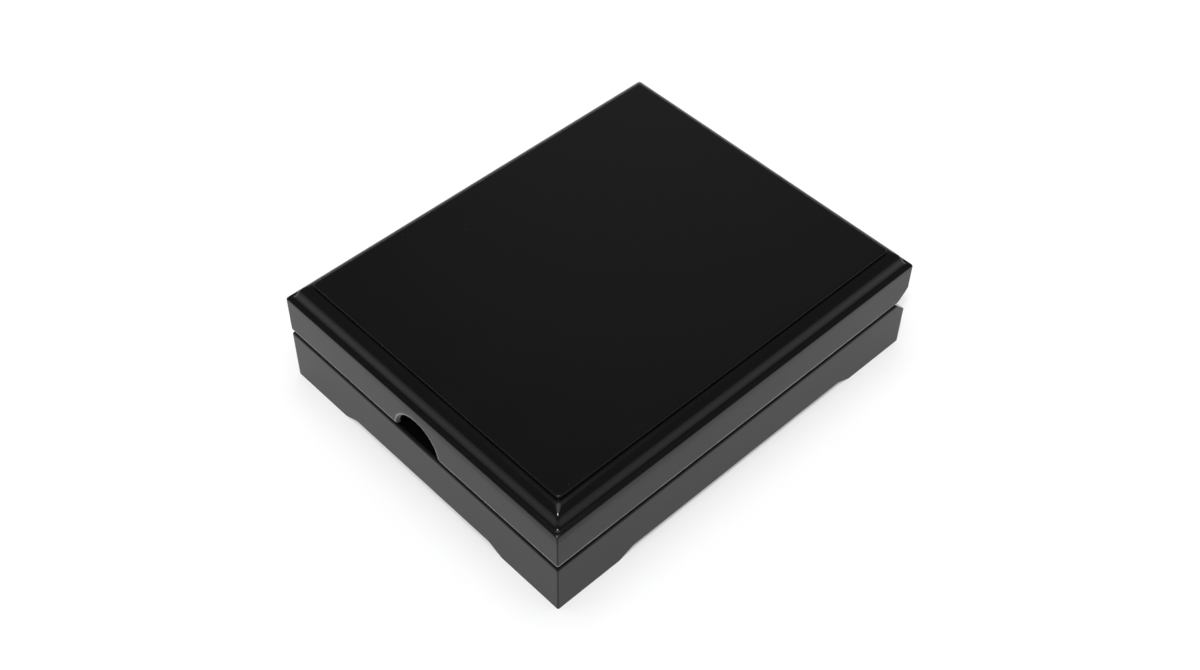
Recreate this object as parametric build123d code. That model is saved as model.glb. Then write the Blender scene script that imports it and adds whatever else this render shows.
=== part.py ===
from build123d import *
import os
from math import cos, pi, sin, sqrt

# Coin display box: a lacquered wooden base on bracket feet, with a moulded lid hinged at the back
# Millimetres, +Z up, front face towards -Y, origin under the middle of the box on the table

# Outside of the closed box
width = 108.0
depth = 134.0
wall = 10.0
corner_round = 0.4

# Base
base_height = 17.6
base_edge_round = 1.0
foot_height = 2.2
foot_length = 21.5
foot_slope = 5.0
base_bevel = 4.2

# Bottom panel, held in a groove of the walls
panel_thickness = 3.0
panel_level = 4.2
groove_depth = 4.0
panel_play = 0.2
felt_thickness = 0.8
felt_margin = 0.6

# Lid
lid_rail_height = 10.6
lid_edge_round = 1.5
lid_bevel = 5.0

# Moulded top board, measured upwards and inwards from the outer face
apron_height = 3.0
ledge_width = 0.8
cove_width = 1.3
cove_height = 1.7
bead_width = 3.4
bead_height = 2.6
step_height = 1.3
arris_round = 0.45

# Thumb notch in the lower edge of the lid's front rail
notch_radius = 7.5
notch_rise = 0.6
notch_flare = 2.0
notch_depth = 6.0

# Hinges
hinge_length = 20.0
hinge_inset = 24.0
centre_knuckle = 7.0
knuckle_gap = 0.15
barrel_radius = 1.5
pin_radius = 0.6
pin_play = 0.05
pin_overhang = 0.2
leaf_thickness = 0.8
leaf_sink = 0.05
leaf_margin = 0.6
mortise_play = 0.1
barrel_play = 0.2
stop_gap = 0.06

# Hinge screws
screw_length = 6.0
screw_radius = 0.6
screw_head_radius = 1.2
screw_spacing = 13.0
screw_play = 0.05
slot_width = 0.35
slot_depth = 0.25

# Insert with a recess for a flat coin holder, which leaves the same border on all four sides
recess_border = 13.5
insert_play = 0.3
floor_pad_thickness = 1.4
floor_pad_play = 0.2
insert_drop = 0.4
velvet_thickness = 0.8
velvet_round = 1.0
finger_radius = 9.0

# Lid lining
lining_thickness = 1.0
lining_lift = 1.0
card_thickness = 1.0
card_play = 0.3
cushion_margin = 0.5
cushion_edge = 2.4
cushion_crown = 2.6
cushion_draw = 0.9
cushion_shoulder = 26.0
cushion_corner = 4.0
cushion_levels = 7

# Places worked out from the sizes above
cutter = 5.0
rim_tolerance = 0.01
seam = base_height
half_width = width / 2
half_depth = depth / 2
inner_width = width - 2 * wall
inner_depth = depth - 2 * wall
recess_width = inner_width - 2 * recess_border
recess_depth = inner_depth - 2 * recess_border
board_level = seam + lid_rail_height
moulding_level = board_level + apron_height
moulding_height = cove_height + bead_height + step_height
moulding_width = ledge_width + cove_width + bead_width
top_level = moulding_level + moulding_height
floor_level = panel_level + panel_thickness
insert_level = floor_level + floor_pad_thickness
insert_top = seam - insert_drop
board_top = insert_top - velvet_thickness

# The hinge axis lies between the inner ends of the two bevels, so they close on each other at 90 degrees
pivot_y = half_depth - (base_bevel + lid_bevel) / 2 + stop_gap / sqrt(2)
leaf_front = half_depth - wall + leaf_margin
screw_y = (leaf_front + pivot_y - barrel_radius - barrel_play) / 2


def block(size_x, size_y, low, high):
    """A plain block, centred on the box, from one level to another."""
    return Pos(0, 0, (low + high) / 2) * Box(size_x, size_y, high - low)


def soft_block(size_x, size_y, low, high, corner):
    """The same with rounded upright corners."""
    return Pos(0, 0, low) * extrude(RectangleRounded(size_x, size_y, corner), high - low)


def rod(radius, length, x, y, z):
    """A round bar along X."""
    return Pos(x, y, z) * Rot(0, 90, 0) * Cylinder(radius, length)


def along_x(points, length):
    """A prism along X with a corner list in Y and Z."""
    face = Plane.YZ * make_face(Polyline(*points, close=True))
    return extrude(face, length / 2, both=True)


def along_y(points, length):
    """A prism along Y with a corner list in X and Z."""
    face = Plane.XZ * make_face(Polyline(*points, close=True))
    return extrude(face, length / 2, both=True)


def foot_gap(span):
    """Outline of the cut-out between two bracket feet, under a wall of this length."""
    low = span / 2 - foot_length
    high = low - foot_slope
    return [(-low, 0), (-low, -cutter), (low, -cutter), (low, 0), (high, foot_height), (-high, foot_height)]


def mitred_rails(frame):
    """The four rails of a frame, parted by 45 degree mitres at its corners."""
    reach = wall + cutter
    low = frame.bounding_box().min.Z - cutter
    high = frame.bounding_box().max.Z + cutter
    x_out = half_width + cutter
    y_out = half_depth + cutter
    x_in = half_width - reach
    y_in = half_depth - reach
    wedges = {
        "front": [(-x_out, -y_out), (x_out, -y_out), (x_in, -y_in), (-x_in, -y_in)],
        "right": [(x_out, -y_out), (x_out, y_out), (x_in, y_in), (x_in, -y_in)],
        "rear": [(x_out, y_out), (-x_out, y_out), (-x_in, y_in), (x_in, y_in)],
        "left": [(-x_out, y_out), (-x_out, -y_out), (-x_in, -y_in), (-x_in, y_in)],
    }
    rails = {}
    for side, corners in wedges.items():
        wedge = Pos(0, 0, low) * extrude(make_face(Polyline(*corners, close=True)), high - low)
        rails[side] = frame & wedge
    return rails


def hinge_places():
    """The two hinge centres along X."""
    return {"left": hinge_inset - half_width, "right": half_width - hinge_inset}


def screw_places():
    """The four screw positions along X."""
    places = []
    for centre in hinge_places().values():
        places.append(centre - screw_spacing / 2)
        places.append(centre + screw_spacing / 2)
    return places


def hinge_recess(up):
    """What a rail loses to its hinge leaves, barrels and screws; up is 1 in the lid, -1 in the base."""
    recess = Part()
    for centre in hinge_places().values():
        length = hinge_length + 2 * mortise_play
        low_y = leaf_front - mortise_play
        deep = leaf_sink + leaf_thickness
        mortise = Box(length, pivot_y - low_y, 2 * deep)
        recess += Pos(centre, (pivot_y + low_y) / 2, seam) * mortise
        bore = hinge_length + 2 * (pin_overhang + barrel_play)
        recess += rod(barrel_radius + barrel_play, bore, centre, pivot_y, seam)
    for x in screw_places():
        drill = screw_length + leaf_sink + screw_play
        recess += Pos(x, screw_y, seam + up * drill / 2) * Cylinder(screw_radius + screw_play, drill)
    return recess


def base_frame():
    """The four walls of the base in one piece, before the mitres."""
    frame = soft_block(width, depth, 0, base_height, corner_round)
    frame = fillet(frame.faces().sort_by(Axis.Z)[-1].edges(), base_edge_round)
    frame -= block(inner_width, inner_depth, -cutter, base_height + cutter)
    slot = 2 * groove_depth
    frame -= block(inner_width + slot, inner_depth + slot, panel_level, panel_level + panel_thickness)
    frame -= along_y(foot_gap(width), depth + cutter)
    frame -= along_x(foot_gap(depth), width + cutter)
    start = half_depth - base_bevel
    end = half_depth + cutter
    frame -= along_x([(start, seam), (end, seam), (end, seam - (end - start))], width + cutter)
    return frame - hinge_recess(-1)


def thumb_notch():
    """An arch whose two lower corners flare out into the rail's edge."""
    flare_x = sqrt((notch_radius + notch_flare) ** 2 - (notch_flare - notch_rise) ** 2)
    share = notch_radius / (notch_radius + notch_flare)
    touch_x = flare_x * share
    touch_y = notch_rise + (notch_flare - notch_rise) * share
    chord_x = (touch_x + flare_x) / 2 - flare_x
    chord_y = touch_y / 2 - notch_flare
    chord = sqrt(chord_x ** 2 + chord_y ** 2)
    bend_x = flare_x + chord_x / chord * notch_flare
    bend_y = notch_flare + chord_y / chord * notch_flare
    crown = (0, notch_rise + notch_radius)
    outline = Curve() + [
        Line((-flare_x, -cutter), (-flare_x, 0)),
        ThreePointArc((-flare_x, 0), (-bend_x, bend_y), (-touch_x, touch_y)),
        ThreePointArc((-touch_x, touch_y), crown, (touch_x, touch_y)),
        ThreePointArc((touch_x, touch_y), (bend_x, bend_y), (flare_x, 0)),
        Line((flare_x, 0), (flare_x, -cutter)),
        Line((flare_x, -cutter), (-flare_x, -cutter)),
    ]
    back = Plane(origin=(0, -half_depth + notch_depth, seam), x_dir=(1, 0, 0), z_dir=(0, -1, 0))
    return extrude(back * make_face(outline), notch_depth + cutter)


def is_outer(edge):
    """Whether a level edge lies on the outer face of the box or on its rounded corner."""
    middle = edge @ 0.5
    reach_x = abs(middle.X) > half_width - corner_round
    reach_y = abs(middle.Y) > half_depth - corner_round
    return reach_x or reach_y


def is_rounded_below(edge):
    """Whether an edge of the lid's rails belongs to their lower rim, along the thumb notch too."""
    extent = edge.bounding_box()
    at_seam = extent.max.Z < seam + rim_tolerance
    along_notch = extent.max.Y < rim_tolerance - half_depth and extent.max.Z < board_level - rim_tolerance
    return along_notch or (at_seam and is_outer(edge))


def lid_frame():
    """The four rails of the lid in one piece, before the mitres."""
    frame = soft_block(width, depth, seam, board_level, corner_round) - thumb_notch()
    lower_edges = frame.edges().filter_by(is_rounded_below)
    frame = fillet(lower_edges, lid_edge_round)
    frame -= block(inner_width, inner_depth, seam - cutter, board_level + cutter)
    start = half_depth - lid_bevel
    end = half_depth + cutter
    frame -= along_x([(start, seam), (end, seam), (end, seam + (end - start))], width + cutter)
    return frame - hinge_recess(1)


def moulded_outline(half, plane):
    """Cross-section of the top board: a step, a convex bead and a concave cove on either side."""
    edge = half
    ledge = edge - ledge_width
    cove = ledge - cove_width
    bead = cove - bead_width
    cove_top = moulding_level + cove_height
    bead_top = cove_top + bead_height
    cove_start = {1: 180, -1: 270}
    bead_start = {1: 0, -1: 90}
    half_outline = []
    for side in (1, -1):
        half_outline += [
            Line((side * edge, board_level), (side * edge, moulding_level)),
            Line((side * edge, moulding_level), (side * ledge, moulding_level)),
            EllipticalCenterArc((side * ledge, cove_top), cove_width, cove_height, cove_start[side]),
            EllipticalCenterArc((side * bead, cove_top), bead_width, bead_height, bead_start[side]),
            Line((side * bead, bead_top), (side * bead, top_level)),
        ]
    ends = [
        Line((-bead, top_level), (bead, top_level)),
        Line((-edge, board_level), (edge, board_level)),
    ]
    return plane * make_face(Curve() + half_outline + ends)


def lid_top_board():
    """The board that closes the lid, moulded on all four edges, with mitre lines at the corners."""
    across = extrude(moulded_outline(half_width, Plane.XZ), half_depth + cutter, both=True)
    along = extrude(moulded_outline(half_depth, Plane.YZ), half_width + cutter, both=True)
    board = across & along
    upright = soft_block(width, depth, board_level - cutter, moulding_level + cutter, corner_round)
    crown_width = width - 2 * moulding_width
    crown_depth = depth - 2 * moulding_width
    upright += soft_block(crown_width, crown_depth, moulding_level, top_level + cutter, corner_round)
    board = board & upright
    top_edges = board.faces().sort_by(Axis.Z)[-1].outer_wire().edges()
    board = fillet(top_edges, arris_round)
    apron_edges = board.edges().filter_by_position(Axis.Z, moulding_level, moulding_level)
    outer_edges = [edge for edge in apron_edges if is_outer(edge)]
    return fillet(outer_edges, arris_round)


def hinge_leaf(centre, up, own_spans):
    """A hinge leaf let into a rail, with its knuckles; up is 1 in the lid, -1 in the base."""
    level = seam + up * (leaf_sink + leaf_thickness / 2)
    middle_y = (leaf_front + pivot_y) / 2
    plate = Pos(centre, middle_y, level) * Box(hinge_length, pivot_y - leaf_front, leaf_thickness)
    leaf = plate - rod(barrel_radius + barrel_play, hinge_length + cutter, centre, pivot_y, seam)
    for low, high in own_spans:
        span = high - low
        middle = centre + (low + high) / 2
        web = Pos(middle, pivot_y - barrel_radius, level) * Box(span, 2 * barrel_radius, leaf_thickness)
        leaf += web + rod(barrel_radius, span, middle, pivot_y, seam)
    leaf -= rod(pin_radius + pin_play, hinge_length + cutter, centre, pivot_y, seam)
    for x in (centre - screw_spacing / 2, centre + screw_spacing / 2):
        leaf -= screw_body(x, up, screw_play)
    return leaf


def screw_body(x, up, play):
    """A countersunk screw with its head flush in the leaf, fattened by the play all round."""
    head_depth = screw_head_radius - screw_radius
    face = seam + up * leaf_sink
    shank = Pos(x, screw_y, face + up * screw_length / 2) * Cylinder(screw_radius + play, screw_length)
    wide = screw_head_radius + play
    narrow = screw_radius + play
    low, high = (wide, narrow) if up > 0 else (narrow, wide)
    head = Pos(x, screw_y, face + up * head_depth / 2) * Cone(low, high, head_depth)
    return shank + head


def hinge_screws(up):
    """Four screws with a straight slot across each head."""
    screws = []
    for x in screw_places():
        face = seam + up * leaf_sink
        slot = Pos(x, screw_y, face) * Box(2 * screw_head_radius, slot_width, 2 * slot_depth)
        screws.append(screw_body(x, up, 0) - slot)
    return Compound(screws)


def knuckle_spans():
    """Spans of the knuckles along a hinge: the outer pair is the base leaf's, the centre one the lid leaf's."""
    end = hinge_length / 2
    inner = centre_knuckle / 2
    outer = [(-end, -inner - knuckle_gap), (inner + knuckle_gap, end)]
    return outer, [(-inner, inner)]


def bottom_panel():
    """The board in the groove of the four walls."""
    reach = 2 * (groove_depth - panel_play)
    return block(inner_width + reach, inner_depth + reach, panel_level, panel_level + panel_thickness)


def underside_felt():
    """The felt sheet under the bottom panel."""
    trim = 2 * felt_margin
    return block(inner_width - trim, inner_depth - trim, panel_level - felt_thickness, panel_level)


def window(grow, low, high):
    """The recess for the coin holder with a finger notch on either side, grown by a lining's thickness."""
    opening = block(recess_width + 2 * grow, recess_depth + 2 * grow, low, high)
    for side in (-1, 1):
        place = Pos(side * recess_width / 2, 0, (low + high) / 2)
        opening += place * Cylinder(finger_radius + grow, high - low)
    return opening


def floor_pad():
    """The pad under the coin holder."""
    trim = 2 * floor_pad_play
    return block(inner_width - trim, inner_depth - trim, floor_level, insert_level)


def insert_board():
    """The board with the window, without its velvet."""
    trim = 2 * (insert_play + velvet_thickness)
    board = block(inner_width - trim, inner_depth - trim, insert_level, board_top)
    return board - window(velvet_thickness, insert_level - cutter, board_top + cutter)


def insert_velvet():
    """The velvet drawn over the board, down its outside and down into the window."""
    trim = 2 * insert_play
    cover = block(inner_width - trim, inner_depth - trim, insert_level, insert_top)
    cover -= window(0, insert_level - cutter, insert_top + cutter)
    cover = fillet(cover.faces().sort_by(Axis.Z)[-1].edges(), velvet_round)
    return cover - insert_board()


def lid_side_linings():
    """Four strips along the inside of the lid's rails, butted at the corners."""
    low = seam + lining_lift
    middle = (low + board_level) / 2
    tall = board_level - low
    strips = []
    for side in (-1, 1):
        x = side * (inner_width - lining_thickness) / 2
        strips.append(Pos(x, 0, middle) * Box(lining_thickness, inner_depth - 2 * lining_thickness, tall))
        y = side * (inner_depth - lining_thickness) / 2
        strips.append(Pos(0, y, middle) * Box(inner_width, lining_thickness, tall))
    return Compound(strips)


def lid_lining_card():
    """The card glued under the top board."""
    trim = 2 * (lining_thickness + card_play)
    return block(inner_width - trim, inner_depth - trim, board_level - card_thickness, board_level)


def lid_cushion():
    """The padded lining: drawn in at the card, full at its side, crowned towards the middle."""
    trim = 2 * (lining_thickness + card_play + cushion_margin)
    size_x = inner_width - trim
    size_y = inner_depth - trim
    start = board_level - card_thickness
    sections = [(0.0, cushion_draw), (cushion_edge / 2, 0.0)]
    for step in range(1, cushion_levels + 1):
        angle = pi / 2 * step / cushion_levels
        drop = cushion_edge / 2 + (cushion_edge / 2 + cushion_crown) * sin(angle)
        sections.append((drop, cushion_shoulder * (1 - cos(angle))))
    faces = []
    for drop, inset in sections:
        outline = RectangleRounded(size_x - 2 * inset, size_y - 2 * inset, cushion_corner)
        faces.append(Pos(0, 0, start - drop) * outline)
    return loft(faces, ruled=True)


def build():
    """All the pieces, by name."""
    pieces = {}
    for side, rail in mitred_rails(base_frame()).items():
        pieces["base_" + side + "_rail"] = rail
    for side, rail in mitred_rails(lid_frame()).items():
        pieces["lid_" + side + "_rail"] = rail
    outer, inner = knuckle_spans()
    for side, centre in hinge_places().items():
        name = "hinge_" + side
        pieces[name + "_base_leaf"] = hinge_leaf(centre, -1, outer)
        pieces[name + "_lid_leaf"] = hinge_leaf(centre, 1, inner)
        pieces[name + "_pin"] = rod(pin_radius, hinge_length + 2 * pin_overhang, centre, pivot_y, seam)
    pieces["hinge_base_screws"] = hinge_screws(-1)
    pieces["hinge_lid_screws"] = hinge_screws(1)
    pieces["bottom_panel"] = bottom_panel()
    pieces["underside_felt"] = underside_felt()
    pieces["floor_pad"] = floor_pad()
    pieces["insert_board"] = insert_board()
    pieces["insert_velvet"] = insert_velvet()
    pieces["lid_top_board"] = lid_top_board()
    pieces["lid_side_linings"] = lid_side_linings()
    pieces["lid_lining_card"] = lid_lining_card()
    pieces["lid_cushion"] = lid_cushion()
    return pieces


os.makedirs("parts", exist_ok=True)
for name, piece in build().items():
    export_step(piece, "parts/" + name + ".step")
print("hinge axis y", round(pivot_y, 4), "z", seam, "top", top_level)
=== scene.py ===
# %% [markdown]
# # A lacquered coin display box
# A small wooden box for one coin in a flat holder. The walls, hinges and screws come from the packed
# model, already in place and at real size. What this lesson adds is everything that a hand would notice:
# the moulded lid with softly sanded corners, the black lacquer, the velvet insert, the satin cushion in
# the lid, the felt underneath and the brass of the hinges.

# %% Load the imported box
import math

import bmesh
import bpy
from mathutils import Matrix, Vector, noise


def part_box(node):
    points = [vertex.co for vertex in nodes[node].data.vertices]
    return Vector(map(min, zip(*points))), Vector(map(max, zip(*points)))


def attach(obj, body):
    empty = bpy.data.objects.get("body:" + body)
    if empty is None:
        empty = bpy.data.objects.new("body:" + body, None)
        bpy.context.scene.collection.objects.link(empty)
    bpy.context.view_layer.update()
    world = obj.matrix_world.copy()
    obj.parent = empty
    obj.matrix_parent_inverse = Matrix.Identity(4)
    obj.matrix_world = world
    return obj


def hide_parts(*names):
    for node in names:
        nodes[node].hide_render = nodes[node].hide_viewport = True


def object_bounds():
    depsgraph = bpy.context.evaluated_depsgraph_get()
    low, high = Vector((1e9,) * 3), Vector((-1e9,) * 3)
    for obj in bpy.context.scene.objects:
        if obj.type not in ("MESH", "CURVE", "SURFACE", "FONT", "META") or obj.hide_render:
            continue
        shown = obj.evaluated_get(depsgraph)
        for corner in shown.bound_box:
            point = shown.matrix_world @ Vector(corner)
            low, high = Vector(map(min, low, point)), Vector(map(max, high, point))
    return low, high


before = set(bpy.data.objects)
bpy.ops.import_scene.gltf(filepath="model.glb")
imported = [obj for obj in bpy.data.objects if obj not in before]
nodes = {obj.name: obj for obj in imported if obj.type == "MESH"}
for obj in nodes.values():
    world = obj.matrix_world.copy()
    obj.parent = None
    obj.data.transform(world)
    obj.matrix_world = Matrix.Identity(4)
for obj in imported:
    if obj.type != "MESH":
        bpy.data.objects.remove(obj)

packed_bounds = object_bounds()
mm = 0.001
print("nodes:", len(nodes), "size:", [round(v, 4) for v in packed_bounds[1] - packed_bounds[0]])

# %% [markdown]
# ## The camera
# The box is seen from above its right front corner. The length of its two sides on the picture, the lean of
# its upright edges and the size of the far corner against the near one fix the camera's place and its lens.
# It stands close, about half a metre away, so the near corner looks larger than the far one. The camera is
# turned a little about its own axis, as a hand-held one is.

# %% Camera at the photograph's viewpoint
camera_place = Vector((0.225542, -0.222486, 0.361729))
camera_azimuth = 0.79431
camera_elevation = 0.83892
camera_roll = 0.01882
camera_lens = 50.26
sensor_width = 36


def camera_axes(azimuth, elevation, roll):
    """The camera's right, up and backward directions."""
    level = math.cos(elevation)
    back = Vector((math.sin(azimuth) * level, -math.cos(azimuth) * level, math.sin(elevation)))
    right = Vector((math.cos(azimuth), math.sin(azimuth), 0))
    up = back.cross(right)
    turned_right = math.cos(roll) * right + math.sin(roll) * up
    turned_up = math.cos(roll) * up - math.sin(roll) * right
    return turned_right, turned_up, back


camera_data = bpy.data.cameras.new("camera")
camera_data.lens = camera_lens
camera_data.sensor_width = sensor_width
camera_data.clip_start = 10 * mm
camera = bpy.data.objects.new("camera", camera_data)
bpy.context.scene.collection.objects.link(camera)
turned = Matrix(camera_axes(camera_azimuth, camera_elevation, camera_roll)).transposed()
camera.matrix_world = Matrix.Translation(camera_place) @ turned.to_4x4()
bpy.context.scene.camera = camera
print("camera at", [round(v, 3) for v in camera_place], "lens", camera_lens)

# %% [markdown]
# ## Sizes read from the box
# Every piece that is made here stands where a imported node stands, so its size comes from that node. If the
# box changes, these pieces follow.

# %% Corners of the nodes
half_width = packed_bounds[1].x
half_depth = packed_bounds[1].y
top_low, top_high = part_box("lid_top_board")
velvet_low, velvet_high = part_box("insert_velvet")
pad_low, pad_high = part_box("floor_pad")
cushion_low, cushion_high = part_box("lid_cushion")
lining_low, lining_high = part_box("lid_side_linings")
felt_low, felt_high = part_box("underside_felt")
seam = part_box("lid_front_rail")[0].z
print("seam at", round(seam, 4), "lid top at", round(top_high.z, 4))

# %% [markdown]
# ## Two helpers for shader nodes
# A finish is a small network of nodes. Blender can build one in code, but each node then takes four or five
# lines. This helper makes a node, sets it and links it in one call: a value that is itself a socket is
# linked, and any other value is written into the socket.


# %% Helpers for nodes and groups
def add(tree, kind, sockets=None, **settings):
    """A new node, with its settings and sockets filled in."""
    made = tree.nodes.new(kind)
    for name, value in settings.items():
        setattr(made, name, value)
    for name, value in (sockets or {}).items():
        if isinstance(value, bpy.types.NodeSocket):
            tree.links.new(value, made.inputs[name])
        else:
            made.inputs[name].default_value = value
    return made


def math_node(tree, operation, *values):
    """The result of one sum on up to three values or sockets."""
    return add(tree, "ShaderNodeMath", dict(enumerate(values)), operation=operation).outputs[0]


def remap(tree, value, low, high, new_low=0.0, new_high=1.0):
    """A smooth step between two values."""
    sockets = {"Value": value, "From Min": low, "From Max": high, "To Min": new_low, "To Max": new_high}
    return add(tree, "ShaderNodeMapRange", sockets, interpolation_type="SMOOTHSTEP").outputs["Result"]


def vector_node(tree, operation, *values):
    """The result of one sum on vectors; LENGTH and DOT_PRODUCT give a number."""
    made = add(tree, "ShaderNodeVectorMath", dict(enumerate(values)), operation=operation)
    return made.outputs["Value" if operation in ("LENGTH", "DOT_PRODUCT") else "Vector"]


def axes_of(tree, value):
    """The X, Y and Z of a vector."""
    return add(tree, "ShaderNodeSeparateXYZ", {0: value}).outputs


def object_place(tree):
    """The place on the object, in metres from its origin."""
    return add(tree, "ShaderNodeTexCoord").outputs["Object"]


def new_group(name, inputs, outputs):
    """An empty node group with named inputs and outputs."""
    tree = bpy.data.node_groups.new(name, "ShaderNodeTree")
    for label, kind, value in inputs:
        tree.interface.new_socket(name=label, in_out="INPUT", socket_type=kind).default_value = value
    for label, kind in outputs:
        tree.interface.new_socket(name=label, in_out="OUTPUT", socket_type=kind)
    return tree, tree.nodes.new("NodeGroupInput").outputs, tree.nodes.new("NodeGroupOutput").inputs


def place_group(tree, group, **values):
    """A group set into a material; underscores in the value's names stand for spaces."""
    made = tree.nodes.new("ShaderNodeGroup")
    made.node_tree = group
    for label, value in values.items():
        made.inputs[label.replace("_", " ")].default_value = value
    return made.outputs


number = "NodeSocketFloat"
vector = "NodeSocketVector"
print("helpers ready")

# %% [markdown]
# ## Effect: fine unevenness
# No sprayed or polished surface is perfectly even. Lacquer dries with a faint ripple, brass keeps the marks
# of the polishing wheel. Both are the same thing at another size: soft noise, which can be stretched along
# one direction. The group gives a height for bump and a slow variation for roughness.

# %% Group: unevenness
unevenness, given, result = new_group(
    "unevenness",
    [("Size mm", number, 1.0), ("Stretch", vector, (1, 1, 1)), ("Detail", number, 2.0)],
    [("Height", number), ("Variation", number)],
)
slow_ratio = 14.0
place = object_place(unevenness)
stretched = vector_node(unevenness, "MULTIPLY", place, given["Stretch"])
fine_scale = math_node(unevenness, "DIVIDE", 1 / mm, given["Size mm"])
slow_scale = math_node(unevenness, "DIVIDE", fine_scale, slow_ratio)
fine = add(unevenness, "ShaderNodeTexNoise",
           {"Vector": stretched, "Scale": fine_scale, "Detail": given["Detail"]})
slow = add(unevenness, "ShaderNodeTexNoise", {"Vector": place, "Scale": slow_scale, "Detail": 3.0})
unevenness.links.new(fine.outputs[0], result["Height"])
unevenness.links.new(slow.outputs[0], result["Variation"])
print("group:", unevenness.name)

# %% [markdown]
# ## Effect: rubbed arrises
# Edges are where a box is held, sanded and knocked, so the finish is thinner there. On a piece that is
# shaped like a box, an arris is where two of the three distances to its faces are small. The second smallest
# distance is the middle one of the three, which three sums of minimum and maximum find. Noise breaks the
# line up, so that the wear comes and goes.

# %% Group: rubbed arris
rubbed, given, result = new_group(
    "rubbed arris",
    [("Middle", vector, (0, 0, 0)), ("Half size", vector, (1, 1, 1)), ("Width mm", number, 0.5)],
    [("Mask", number)],
)
place = object_place(rubbed)
reach = vector_node(rubbed, "ABSOLUTE", vector_node(rubbed, "SUBTRACT", place, given["Middle"]))
split = axes_of(rubbed, vector_node(rubbed, "SUBTRACT", given["Half size"], reach))
smaller = math_node(rubbed, "MINIMUM", split["X"], split["Y"])
larger = math_node(rubbed, "MAXIMUM", split["X"], split["Y"])
second = math_node(rubbed, "MAXIMUM", smaller, math_node(rubbed, "MINIMUM", larger, split["Z"]))
in_widths = math_node(rubbed, "DIVIDE", math_node(rubbed, "DIVIDE", second, mm), given["Width mm"])
line = remap(rubbed, in_widths, 0.0, 1.0, 1.0, 0.0)
broken = add(rubbed, "ShaderNodeTexNoise", {"Vector": place, "Scale": 0.35 / mm, "Detail": 4.0}).outputs[0]
worn = math_node(rubbed, "MULTIPLY", line, remap(rubbed, broken, 0.35, 0.75))
rubbed.links.new(worn, result["Mask"])
print("group:", rubbed.name)

# %% [markdown]
# ## Effect: painted highlight on the lid's rim
# A pale hairline is painted into the lacquer's colour where the lid's lower rim begins to round. It is a
# painted highlight along that rim and round the thumb notch's arch. The distance to the rim is the smaller of
# two: the height above the seam, and the distance from the notch's arch, which counts in front only. Where
# that distance is nearly the rounding's size, there is the line.

# %% Group: painted rim highlight
line_core_mm = 0.05
line_edge_mm = 0.36
arch_ends_mm = (-40, -30)
line_ends_mm = (50, 60)
far_away_mm = 50

rim, given, result = new_group(
    "painted rim highlight",
    [
        ("Half size", vector, (0, 0, 0)),
        ("Arch centre", vector, (0, 0, 0)),
        ("Arch radius mm", number, 7.5),
        ("Seam mm", number, 17.6),
        ("Offset mm", number, 1.3),
    ],
    [("Mask", number)],
)
place = object_place(rim)
height_mm = math_node(rim, "DIVIDE", axes_of(rim, place)["Z"], mm)
back_mm = math_node(rim, "DIVIDE", axes_of(rim, place)["Y"], mm)
from_centre = vector_node(rim, "SUBTRACT", place, given["Arch centre"])
arch_distance = vector_node(rim, "LENGTH", vector_node(rim, "MULTIPLY", from_centre, (1, 0, 1)))
above_arch = math_node(rim, "SUBTRACT", math_node(rim, "DIVIDE", arch_distance, mm), given["Arch radius mm"])
only_front = remap(rim, back_mm, *arch_ends_mm, 0, far_away_mm)
front_arch = math_node(rim, "ADD", above_arch, only_front)
above_seam = math_node(rim, "SUBTRACT", height_mm, given["Seam mm"])
to_rim = math_node(rim, "MINIMUM", front_arch, above_seam)
off_line = math_node(rim, "ABSOLUTE", math_node(rim, "SUBTRACT", to_rim, given["Offset mm"]))
hairline = remap(rim, off_line, line_core_mm, line_edge_mm, 1.0, 0.0)

# The painted highlight line keeps to the outside of the front and the sides, and it is fainter in places.
split = axes_of(rim, vector_node(rim, "SUBTRACT", given["Half size"], vector_node(rim, "ABSOLUTE", place)))
depth_mm = math_node(rim, "DIVIDE", math_node(rim, "MINIMUM", split["X"], split["Y"]), mm)
not_behind = remap(rim, back_mm, *line_ends_mm, 1, 0)
outside = math_node(rim, "MULTIPLY", remap(rim, depth_mm, 2, 3, 1, 0), not_behind)
faded = add(rim, "ShaderNodeTexNoise", {"Vector": place, "Scale": 0.06 / mm, "Detail": 3.0}).outputs[0]
strength = math_node(rim, "MULTIPLY", outside, remap(rim, faded, 0.35, 0.6, 0.45, 1.0))
rim.links.new(math_node(rim, "MULTIPLY", hairline, strength), result["Mask"])
print("group:", rim.name)

# %% [markdown]
# ## Effect: dust
# A black box shows every speck. A cell pattern puts one point in each cell; only the points that lie in a
# cell with a high random colour become specks, so they are few, small and unevenly spread.

# %% Group: dust
dust, given, result = new_group(
    "dust",
    [("Spacing mm", number, 3.0), ("Speck mm", number, 0.1), ("Share", number, 0.2)],
    [("Mask", number)],
)
place = object_place(dust)
cells = add(dust, "ShaderNodeTexVoronoi",
            {"Vector": place, "Scale": math_node(dust, "DIVIDE", 1 / mm, given["Spacing mm"])})
speck = math_node(dust, "DIVIDE", given["Speck mm"], given["Spacing mm"])
near = math_node(dust, "LESS_THAN", cells.outputs["Distance"], speck)
chosen = add(dust, "ShaderNodeSeparateColor", {0: cells.outputs["Color"]}).outputs["Red"]
kept = math_node(dust, "LESS_THAN", chosen, given["Share"])
dust.links.new(math_node(dust, "MULTIPLY", near, kept), result["Mask"])
print("group:", dust.name)

# %% [markdown]
# ## Effect: pile
# Velvet and felt are both fields of short fibres. Close up they are a fine random grain, and from further
# away the fibres lean together in patches, where the cloth was stroked or pressed. The group gives both.

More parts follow.
